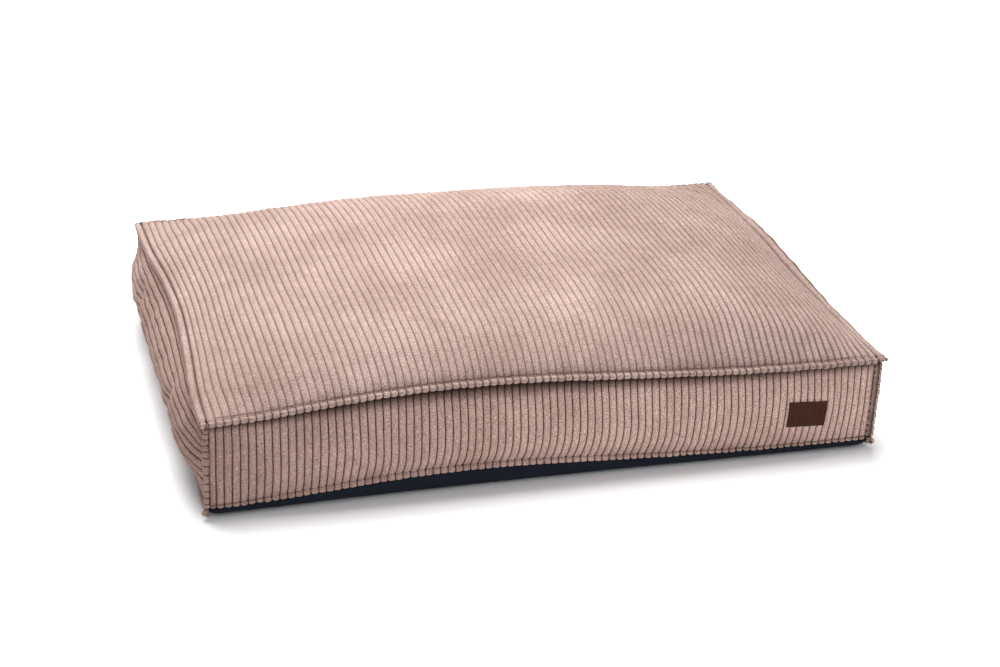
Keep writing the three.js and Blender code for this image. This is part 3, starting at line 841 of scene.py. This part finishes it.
foot_run = 0.018  # width of the border in which the cloth curves up from the floor
belly_out = 0.0156  # how far the border swells out over the floor
tuck_room = 0.0028  # between the cloth and the hanging flange that covers its edge
floor_gap = 0.0014
base_border = 0.032  # width of the border in which the columns and rows lie closer together


def belly(past):
    """Share of the lift at a seam: steep at the seam, level where the cloth meets the floor."""
    return 1 - np.clip(1 - past**2.6, 0, None) ** 0.55


def base_form(columns, rows):
    tx = np.clip(columns / seam_x, -1, 1)[None, :]
    ty = np.clip(rows / seam_y, -1, 1)[:, None]
    past_x = np.clip((np.abs(tx) * seam_x - seam_x + foot_run) / foot_run, 0, 1)
    past_y = np.clip((np.abs(ty) * seam_y - seam_y + foot_run) / foot_run, 0, 1)
    rise = 1 - (1 - belly(past_x)) * (1 - belly(past_y))
    long_seam = np.where(ty < 0, front_arch(tx), back_arch(tx))
    lift = long_seam * ty**4 + end_arch(ty) * tx**4
    pull_x = np.where(tx < 0, left_pull(ty), right_pull(ty))
    x = tx * seam_x - pull_x * np.sign(tx) * past_x**2
    y = ty * seam_y - draw_in * arch(tx) * np.sign(ty) * past_y**2
    z = floor_gap + (base_seam_z + lift - floor_gap) * rise
    bulge = belly_out * np.clip(1 - rise, 0, 1) ** 0.7
    x = x + bulge * np.sign(tx) * past_x**1.5
    y = y + bulge * np.sign(ty) * past_y**1.5
    hang_x = np.clip(np.abs(columns) - seam_x, 0, None)[None, :]
    hang_y = np.clip(np.abs(rows) - seam_y, 0, None)[:, None]
    x = x - np.sign(columns)[None, :] * tuck_room * (past_x > 0.97)
    y = y - np.sign(rows)[:, None] * tuck_room * (past_y > 0.97)
    x = x + np.sign(columns)[None, :] * hang_x * math.cos(base_droop)
    y = y + np.sign(rows)[:, None] * hang_y * math.cos(base_droop)
    z = z - np.maximum(hang_x, hang_y) * math.sin(base_droop)
    return np.stack([x, y, z], axis=2)


def weave_group():
    """Shader group: a plain weave of threads that cross over and under."""
    group, given, result = shader_group(
        "plain_weave",
        {"Thread": "NodeSocketColor", "Gap": "NodeSocketColor", "Count": "NodeSocketFloat"},
        {"Colour": "NodeSocketColor", "Height": "NodeSocketFloat"},
    )
    place = add_node(group, "ShaderNodeTexCoord").outputs["Object"]
    split = add_node(group, "ShaderNodeSeparateXYZ")
    group.links.new(place, split.inputs["Vector"])
    waves = []
    for axis in ("X", "Y", "Z"):
        turn = times(group, split.outputs[axis], given.outputs["Count"])
        wave = add_node(group, "ShaderNodeMath", operation="SINE")
        group.links.new(turn, wave.inputs[0])
        waves.append(wave.outputs["Value"])
    total = add_node(group, "ShaderNodeMath", operation="ADD")
    group.links.new(times(group, waves[0], waves[1]), total.inputs[0])
    group.links.new(waves[2], total.inputs[1])
    height = ramp(group, total.outputs["Value"], -1.0, 1.0)
    worn = ramp(group, clouds(group, place, 30.0, 4.0, 0.6), 0.3, 0.7, 0.6, 1.0)
    share = times(group, height, worn)
    colour = blend_colours(group, share, given.outputs["Gap"], given.outputs["Thread"])
    group.links.new(colour, result.inputs["Colour"])
    group.links.new(height, result.inputs["Height"])
    return group


weave = weave_group()


def woven_cloth(name, thread_colour, gap_colour, roughness, count):
    material, tree, surface = plain_material(name, thread_colour, roughness)
    look = add_node(tree, "ShaderNodeGroup", node_tree=weave)
    look.inputs["Thread"].default_value = (*thread_colour, 1)
    look.inputs["Gap"].default_value = (*gap_colour, 1)
    look.inputs["Count"].default_value = count
    tree.links.new(look.outputs["Colour"], surface.inputs["Base Color"])
    add_bump(tree, surface, look.outputs["Height"], 0.6, 0.0004)
    surface.inputs["Specular IOR Level"].default_value = 0.2
    return material


navy_canvas = woven_cloth("navy_canvas", (0.012, 0.017, 0.030), (0.004, 0.006, 0.011), 0.88, 5200.0)


def base_stations(half, count):
    """Stations of the base cloth from one edge to the other, with its tucked borders."""
    near = np.array([0.0003, 0.001, 0.002, 0.0032, 0.0048, 0.007, 0.010, 0.014, 0.019, 0.025])
    tucked = np.array([0.003, 0.006, 0.0088])
    middle = np.linspace(-half + base_border, half - base_border, count)
    inside = np.concatenate([near - half, middle, half - near[::-1]])
    return np.concatenate([-half - tucked[::-1], inside, half + tucked])


def make_base():
    form = base_form(base_stations(seam_x, 149), base_stations(seam_y, 101)[::-1])
    panel = sewn_cloth("base_cloth", form, 1.0, 0.0, 0.0009)
    finish_panel(panel, navy_canvas, "base_panel")


make_base()


# ---- Stitching --------------------------------------------------------------------------------
# Rows of lockstitch in a thread darker than the corduroy, sunk into the pile: one row round the
# top flange, one along each hanging flange and one down each corner.

stitch_length = 0.0034
stitch_gap = 0.0012
stitch_rise = 0.0012  # from the form of the cloth to the middle of a stitch
corner_stitch = 0.0052  # from a corner's seam out to its row
thread_radius = 0.00042


def make_one_stitch():
    """A short plump length of thread along Z."""
    bm = bmesh.new()
    bmesh.ops.create_uvsphere(bm, u_segments=6, v_segments=4, radius=1)
    size = Vector((thread_radius, thread_radius, stitch_length / 2))
    bmesh.ops.scale(bm, vec=size, verts=bm.verts)
    return finished_mesh("one_stitch", bm)


one_stitch = make_one_stitch()


def along_path(path, run, at):
    """Points on a path at distances along it; `run` holds the distance to each of its points."""
    return np.stack([np.interp(at, run, path[:, k]) for k in range(3)], axis=1)


def stitch_row(name, path, outward):
    """Separate stitches along a path of points, each lying on the face whose normal is outward."""
    path = np.asarray(path)
    outward = np.asarray(outward) * np.ones_like(path)
    run = np.concatenate([[0], np.cumsum(np.linalg.norm(np.diff(path, axis=0), axis=1))])
    count = int(run[-1] / (stitch_length + stitch_gap))
    middles = (np.arange(count) + 0.5) * run[-1] / count
    place = along_path(path, run, middles)
    face = along_path(outward, run, middles)
    along = along_path(path, run, middles + 0.001) - along_path(path, run, middles - 0.001)
    along = along / np.linalg.norm(along, axis=1, keepdims=True)
    side = np.cross(face, along)
    side = side / np.linalg.norm(side, axis=1, keepdims=True)
    up = np.cross(along, side)
    bm = bmesh.new()
    for _ in range(count):
        bm.from_mesh(one_stitch)
    mesh = finished_mesh(name, bm)
    shape = places_of(mesh).reshape(count, -1, 3)
    axes = (side, up, along)
    turned = sum(shape[:, :, k, None] * axis[:, None, :] for k, axis in enumerate(axes))
    mesh.vertices.foreach_set("co", (turned + place[:, None, :]).ravel())
    mesh.polygons.foreach_set("use_smooth", [True] * len(mesh.polygons))
    return put_in_scene(name, mesh)


def spun_thread(name, colour):
    """Spun polyester: fine twisted strands."""
    material, tree, surface = plain_material(name, colour, 0.62)
    place = add_node(tree, "ShaderNodeTexCoord").outputs["Object"]
    strands = clouds(tree, place, 2600.0, 2.0, 0.5)
    tone = shaded(tree, colour, ramp(tree, strands, 0.3, 0.7, 0.75, 1.15))
    tree.links.new(tone, surface.inputs["Base Color"])
    add_bump(tree, surface, strands, 0.5, 0.0002)
    surface.inputs["Sheen Weight"].default_value = 0.2
    return material


pink_thread = spun_thread("pink_thread", (0.105, 0.058, 0.045))


def finish_row(row, material, node):
    row.data.materials.append(material)
    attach(row, "root")
    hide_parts(node)


def top_edge_path():
    """The four sides of the top flange's row, anticlockwise from the front left corner."""
    long_run = np.linspace(-seam_x, seam_x, 160)
    short_run = np.linspace(-seam_y, seam_y, 110)
    beyond = seam_y + end_stitch
    front = top_form(long_run, np.array([-beyond]))[0]
    right = top_form(np.array([seam_x + side_stitch]), short_run)[:, 0]
    back = top_form(long_run, np.array([beyond]))[0][::-1]
    left = top_form(np.array([-seam_x - side_stitch]), short_run)[::-1, 0]
    path = np.concatenate([front, right, back, left, front[:1]])
    path[:, 2] += stitch_rise
    return path


def sew_top_edge():
    row = stitch_row("top_edge_stitches", top_edge_path(), (0, 0, 1))
    finish_row(row, pink_thread, "top_edge_thread")


def sew_base_edge(side, half):
    level = np.array([-1 - side_stitch])
    path = wall_form(side, np.linspace(-half, half, 120), level, False)[0]
    x, y = wall_place(side, 0, 1)
    face = np.array([x * math.sin(base_droop), y * math.sin(base_droop), math.cos(base_droop)])
    row = stitch_row("base_stitches_" + side, path + face * stitch_rise, face)
    finish_row(row, pink_thread, "base_thread_" + side)


def sew_corner(corner, side, end):
    place = np.array([end * (seam_x + corner_stitch)])
    path = wall_form(side, place, np.linspace(-0.96, 0.97, 40), False)[:, 0]
    lean_along, lean_out = corner_lean(side, end)
    x, y = wall_place(side, -end * lean_out, lean_along)
    face = np.array([float(x), float(y), 0])
    row = stitch_row("corner_stitches_" + corner, path + face * (cord_depth + 0.0003), face)
    finish_row(row, pink_thread, "corner_thread_" + corner)


sew_top_edge()
for side, half in (("front", seam_x), ("back", seam_x), ("left", seam_y), ("right", seam_y)):
    sew_base_edge(side, half)
sew_corner("front_left", "front", -1)
sew_corner("front_right", "front", 1)
sew_corner("back_right", "back", -1)
sew_corner("back_left", "back", 1)


# ---- Label ------------------------------------------------------------------------------------
# A plain patch of dark brown split leather with turned edges, sewn on over the cords of the front
# wall near its right end. It carries no mark.

label_low, label_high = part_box("label_patch")
label_drop = 0.0025
label_slope = 0.085
label_x = (label_low.x + label_high.x) / 2
label_z = (label_low.z + label_high.z) / 2 - label_drop
label_half = Vector(((label_high.x - label_low.x) / 2, (label_high.z - label_low.z) / 2))
label_thick = 0.0013
label_gap = 0.0004  # between the cords' tops and the back of the leather
label_border = 0.0032  # from the patch's edge to the dent beside its stitches


def leather():
    """Brown leather: small pebbled cells, darker in the creases, with a dull shine."""
    material, tree, surface = plain_material("brown_leather", (0.055, 0.022, 0.012), 0.5)
    surface.inputs["Specular IOR Level"].default_value = 0.06
    place = add_node(tree, "ShaderNodeTexCoord").outputs["Object"]
    cells = add_node(tree, "ShaderNodeTexVoronoi", feature="DISTANCE_TO_EDGE")
    cells.inputs["Scale"].default_value = 700.0
    tree.links.new(place, cells.inputs["Vector"])
    crease = ramp(tree, cells.outputs["Distance"], 0.0, 0.25)
    stain = clouds(tree, place, 45.0, 4.0, 0.6)
    pebbled = ramp(tree, crease, 0, 1, 0.65, 1.05)
    stained = ramp(tree, stain, 0.3, 0.7, 0.8, 1.2)
    tone = shaded(tree, (0.054, 0.0175, 0.0085), times(tree, pebbled, stained))
    tree.links.new(tone, surface.inputs["Base Color"])
    tree.links.new(ramp(tree, stain, 0.3, 0.7, 0.42, 0.62), surface.inputs["Roughness"])
    add_bump(tree, surface, crease, 0.5, 0.0003)
    return material


def front_reach(x, z):
    """How far the front wall's form stands out at a place, without its cords."""
    t = x / seam_x
    below = middle_z - base_seam_z - front_arch(t)
    above = top_seam_z + front_arch(t) - middle_z
    w = (z - middle_z) / np.where(z < middle_z, below, above)
    seam_out = seam_y - draw_in * arch(t)
    middle_out = seam_y + wall_bulges["front"] * (1 - np.abs(t) ** 6)
    return seam_out + (middle_out - seam_out) * wall_fullness(w) - lip(w)


def make_label():
    across = np.linspace(-1, 1, 61)
    upward = np.linspace(-1, 1, 41)
    x = label_x + label_half.x * across[None, :] + 0 * upward[:, None]
    z = label_z + label_half.y * upward[:, None] - label_slope * (x - label_x)
    edge = np.minimum(
        label_half.x * (1 - np.abs(across))[None, :] + 0 * z,
        label_half.y * (1 - np.abs(upward))[:, None] + 0 * x,
    )
    turned = 0.0007 * np.exp(-(((edge - label_border) / 0.0010) ** 2))
    rounded = 0.0006 * np.clip(1 - edge / 0.0008, 0, 1) ** 2
    reach = front_reach(x, z) + cord_depth + label_gap + label_thick - turned - rounded
    reach = reach + 0.0003 * np.sin(2 * math.pi * x / cord_pitch)
    patch, _, _ = cloth_grid("label", np.stack([x, -reach, z], axis=2))
    give_thickness(patch, label_thick)
    patch.data.materials.append(leather())
    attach(patch, "root")
    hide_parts("label_patch")


def sew_label(name, sign):
    half_run = label_half.x - 0.0035
    x = np.linspace(label_x - half_run, label_x + half_run, 30)
    z = label_z + sign * (label_half.y - label_border) - label_slope * (x - label_x)
    reach = front_reach(x, z) + cord_depth + label_thick
    row = stitch_row("label_stitches_" + name, np.stack([x, -reach, z], axis=1), (0, -1, 0))
    finish_row(row, brown_thread, "label_thread_" + name)


make_label()
brown_thread = spun_thread("brown_thread", (0.040, 0.016, 0.009))
sew_label("upper", 1)
sew_label("lower", -1)


# ---- Zip --------------------------------------------------------------------------------------
# A nylon coil zip behind the back slot: two woven tapes, a coil sewn along each, stops at the
# ends, and a bronzed slider with a flat pull tab.

coil_pitch = 0.0016
filament = 0.00034
zip_row_off = 0.0037  # from the slot's edge to the row of stitches beside it


def bronzed():
    """Antiqued zip metal: brown lacquer, brighter and smoother where it is rubbed."""
    material, tree, surface = plain_material("bronzed_metal", (0.17, 0.12, 0.08), 0.35)
    surface.inputs["Metallic"].default_value = 1.0
    place = add_node(tree, "ShaderNodeTexCoord").outputs["Object"]
    rubbed = clouds(tree, place, 260.0, 4.0, 0.6)
    tone = shaded(tree, (0.22, 0.155, 0.10), ramp(tree, rubbed, 0.35, 0.7, 0.7, 1.4))
    tree.links.new(tone, surface.inputs["Base Color"])
    tree.links.new(ramp(tree, rubbed, 0.35, 0.7, 0.42, 0.24), surface.inputs["Roughness"])
    add_bump(tree, surface, rubbed, 0.25, 0.0002)
    return material


zip_metal = bronzed()
tape_cloth = woven_cloth("zip_tape_weave", (0.33, 0.215, 0.18), (0.16, 0.10, 0.08), 0.8, 7000.0)


def merged_copy(node):
    """A bmesh of a CAD node's triangles with their doubles merged."""
    bm = bmesh.new()
    bm.from_mesh(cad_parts[node].data)
    bmesh.ops.remove_doubles(bm, verts=bm.verts, dist=1e-6)
    return bm


def is_sharp(edge):
    return edge.is_manifold and edge.calc_face_angle() > math.radians(30)


def refined(node, body, bevel):
    """A copy of a CAD node with its flat faces joined and its edges rounded."""
    bm = merged_copy(node)
    bmesh.ops.dissolve_limit(bm, angle_limit=math.radians(1), verts=bm.verts, edges=bm.edges)
    sharp = [edge for edge in bm.edges if is_sharp(edge)]
    bmesh.ops.bevel(
        bm, geom=sharp, offset=bevel, segments=2, profile=0.5, affect="EDGES", material=-1
    )
    mesh = finished_mesh(node + "_finished", bm)
    mesh.shade_smooth()
    piece = put_in_scene(node + "_finished", mesh)
    piece.data.materials.append(zip_metal)
    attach(piece, body)
    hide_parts(node)


def coil_row(name, node):
    """A nylon coil: a round filament wound along the tape's edge, a turn every 1.6 mm."""
    low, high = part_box(node)
    turns = int((high.x - low.x) / coil_pitch)
    angle = np.linspace(0, 2 * math.pi * turns, turns * 10 + 1)
    radius = (high.z - low.z) / 2 - filament
    x = low.x + filament + (high.x - low.x - 2 * filament) * angle / angle[-1]
    y = (low.y + high.y) / 2 + radius * np.cos(angle)
    z = (low.z + high.z) / 2 + radius * np.sin(angle)
    curve = bpy.data.curves.new(name, "CURVE")
    curve.dimensions = "3D"
    spline = curve.splines.new("POLY")
    spline.points.add(len(angle) - 1)
    spline.points.foreach_set("co", np.stack([x, y, z, np.ones_like(x)], axis=1).ravel())
    curve.bevel_depth = filament
    curve.bevel_resolution = 1
    curve.use_fill_caps = True
    coil = put_in_scene(name, curve)
    curve.materials.append(coil_nylon)
    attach(coil, "root")
    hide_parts(node)


def sew_zip(name, sign):
    x = np.linspace(-zip_half, zip_half, 60)
    y = np.full(60, seam_y + back_bulge + 0.0012)
    z = np.full(60, middle_z + sign * (slot_half + zip_row_off))
    row = stitch_row("zip_stitches_" + name, np.stack([x, y, z], axis=1), (0, 1, 0))
    finish_row(row, pink_thread, "zip_thread_" + name)


coil_nylon = spun_thread("coil_nylon", (0.36, 0.24, 0.20))
coil_nylon.node_tree.nodes["Principled BSDF"].inputs["Roughness"].default_value = 0.3
for half in ("upper", "lower"):
    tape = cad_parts["zip_tape_" + half]
    tape.data.materials.clear()
    tape.data.materials.append(tape_cloth)
    coil_row("nylon_coil_" + half, "zip_coil_" + half)
    refined("zip_top_stop_" + half, "root", 0.0003)
refined("zip_end_stop", "root", 0.0004)
refined("zip_slider", "zip_slider", 0.00025)
refined("zip_pull_tab", "zip_pull", 0.00025)
sew_zip("upper", 1)
sew_zip("lower", -1)


# ---- Inner pad --------------------------------------------------------------------------------
# The loose pad inside the cover: two sheets of undyed cotton lining sewn together at the rim,
# round a block of crimped hollow fibre.

pad_room = 0.003  # between the pad and the cover's crown
pad_lump = 0.0004


def soft_copy(name, node, material, seed):
    """A CAD solid with finer faces and a soft uneven surface, lowered to fit under the crown."""
    bm = merged_copy(node)
    bmesh.ops.subdivide_edges(bm, edges=bm.edges, cuts=3, use_grid_fill=True)
    mesh = finished_mesh(name, bm)
    places = places_of(mesh)
    tx = np.clip(places[:, 0] / seam_x, -1, 1)
    ty = np.clip(places[:, 1] / seam_y, -1, 1)
    cover = top_seam_z + crown_rise * crown(tx, ty)
    full = np.sqrt((1 - tx**4) * (1 - ty**4))
    square_cover = top_seam_z + crown_rise * full
    share = np.clip((cover - pad_room - middle_z) / (square_cover - middle_z), 0, 1)
    above = np.clip(places[:, 2] - middle_z, 0, None)
    places[:, 2] -= above * (1 - share)
    places[:, 2] += pad_lump * soft_noise(places[:, 0], places[:, 1], 0.09, seed)
    mesh.vertices.foreach_set("co", places.ravel())
    mesh.shade_smooth()
    piece = put_in_scene(name, mesh)
    piece.data.materials.append(material)
    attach(piece, "root")
    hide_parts(node)


cotton = woven_cloth("cotton_lining", (0.66, 0.63, 0.58), (0.42, 0.40, 0.36), 0.9, 4200.0)


def hollow_fibre():
    """Crimped white fibre: a mass of fine soft curls."""
    material, tree, surface = plain_material("hollow_fibre", (0.82, 0.81, 0.78), 0.95)
    place = add_node(tree, "ShaderNodeTexCoord").outputs["Object"]
    curls = clouds(tree, place, 90.0, 8.0, 0.75)
    tone = shaded(tree, (0.84, 0.83, 0.80), ramp(tree, curls, 0.3, 0.7, 0.75, 1.05))
    tree.links.new(tone, surface.inputs["Base Color"])
    add_bump(tree, surface, curls, 0.8, 0.004)
    return material


soft_copy("lining_base", "inner_lining_base", cotton, 71)
soft_copy("lining_top", "inner_lining_top", cotton, 72)
soft_copy("fibre_block", "fibre_filling", hollow_fibre(), 73)
